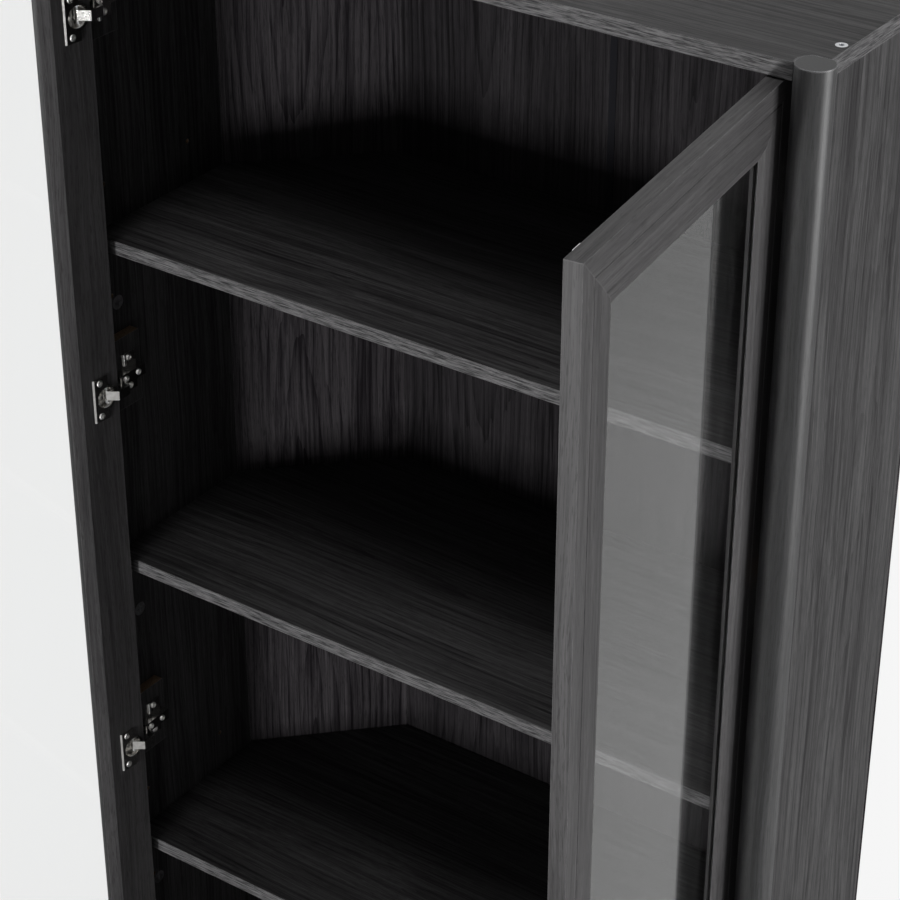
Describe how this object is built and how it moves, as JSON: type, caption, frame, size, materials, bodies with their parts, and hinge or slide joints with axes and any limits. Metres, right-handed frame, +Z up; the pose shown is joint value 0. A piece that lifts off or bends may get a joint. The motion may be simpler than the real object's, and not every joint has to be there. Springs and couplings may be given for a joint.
{
  "type": "bookcase with glass doors",
  "caption": "Tall bookcase with chamfered rear corners, round front posts, loose shelves and a pair of framed glass doors on concealed hinges.",
  "frame": {"origin": "on the floor at mid width, under the middle of the kick board's thickness", "axes": "+X to the right seen from the front, +Y from the front to the back, +Z up"},
  "size_m": [0.865, 0.7163, 1.55],
  "materials": {
    "charcoal_laminate": "satin dark wood-grain laminate on board",
    "charcoal_post": "smooth semi-gloss dark foil",
    "charcoal_frame": "satin dark wood-grain foil on moulded frame",
    "charcoal_back": "matt dark printed hardboard",
    "clear_glass": "clear float glass",
    "nickel": "bright nickel plate",
    "zinc_steel": "bright zinc plate",
    "black_plastic": "matt black moulding",
    "beech": "plain turned beech"
  },
  "bodies": {
    "carcass": {"top_panel": "charcoal_laminate", "bottom_panel": "charcoal_laminate", "left_side": "charcoal_laminate", "right_side": "charcoal_laminate", "left_post": "charcoal_post", "right_post": "charcoal_post", "upper_shelf": "charcoal_laminate", "middle_shelf": "charcoal_laminate", "lower_shelf": "charcoal_laminate", "kick_board": "charcoal_laminate", "left_corner_back": "charcoal_back", "right_corner_back": "charcoal_back", "left_back": "charcoal_back", "right_back": "charcoal_back", "back_strip": "black_plastic", "back_nails": "zinc_steel", "panel_screws": "zinc_steel", "post_cams": "zinc_steel", "post_bolts": "zinc_steel", "kick_dowels": "beech", "shelf_pins": "zinc_steel", "left_hinge_blocks": "charcoal_laminate", "right_hinge_blocks": "charcoal_laminate", "left_hinge_plates": "nickel", "right_hinge_plates": "nickel", "left_hinge_arms": "nickel", "right_hinge_arms": "nickel", "plate_screws": "nickel", "arm_screws": "nickel", "catch_body": "black_plastic", "catch_magnets": "zinc_steel", "catch_screws": "zinc_steel"},
    "left_door": {"left_hinge_stile": "charcoal_frame", "left_free_stile": "charcoal_frame", "left_top_rail": "charcoal_frame", "left_bottom_rail": "charcoal_frame", "left_mitre_dowels": "beech", "left_glass": "clear_glass", "left_glazing_tape": "black_plastic", "left_hinge_cups": "nickel", "left_hinge_pins": "zinc_steel", "left_cup_screws": "nickel", "left_strike": "zinc_steel", "left_knob": "nickel", "left_knob_screw": "zinc_steel"},
    "right_door": {"right_hinge_stile": "charcoal_frame", "right_free_stile": "charcoal_frame", "right_top_rail": "charcoal_frame", "right_bottom_rail": "charcoal_frame", "right_mitre_dowels": "beech", "right_glass": "clear_glass", "right_glazing_tape": "black_plastic", "right_hinge_cups": "nickel", "right_hinge_pins": "zinc_steel", "right_cup_screws": "nickel", "right_strike": "zinc_steel", "right_knob": "nickel", "right_knob_screw": "zinc_steel"}
  },
  "joints": [
    {"name": "left_door_hinge", "type": "hinge", "parent": "carcass", "child": "left_door", "pos_m": [-0.3607, -0.0278, 0.8045], "axis": [0, 0, 1], "range_deg": [0, 97]},
    {"name": "right_door_hinge", "type": "hinge", "parent": "carcass", "child": "right_door", "pos_m": [0.3607, -0.0278, 0.8045], "axis": [0, 0, -1], "range_deg": [0, 97]}
  ]
}
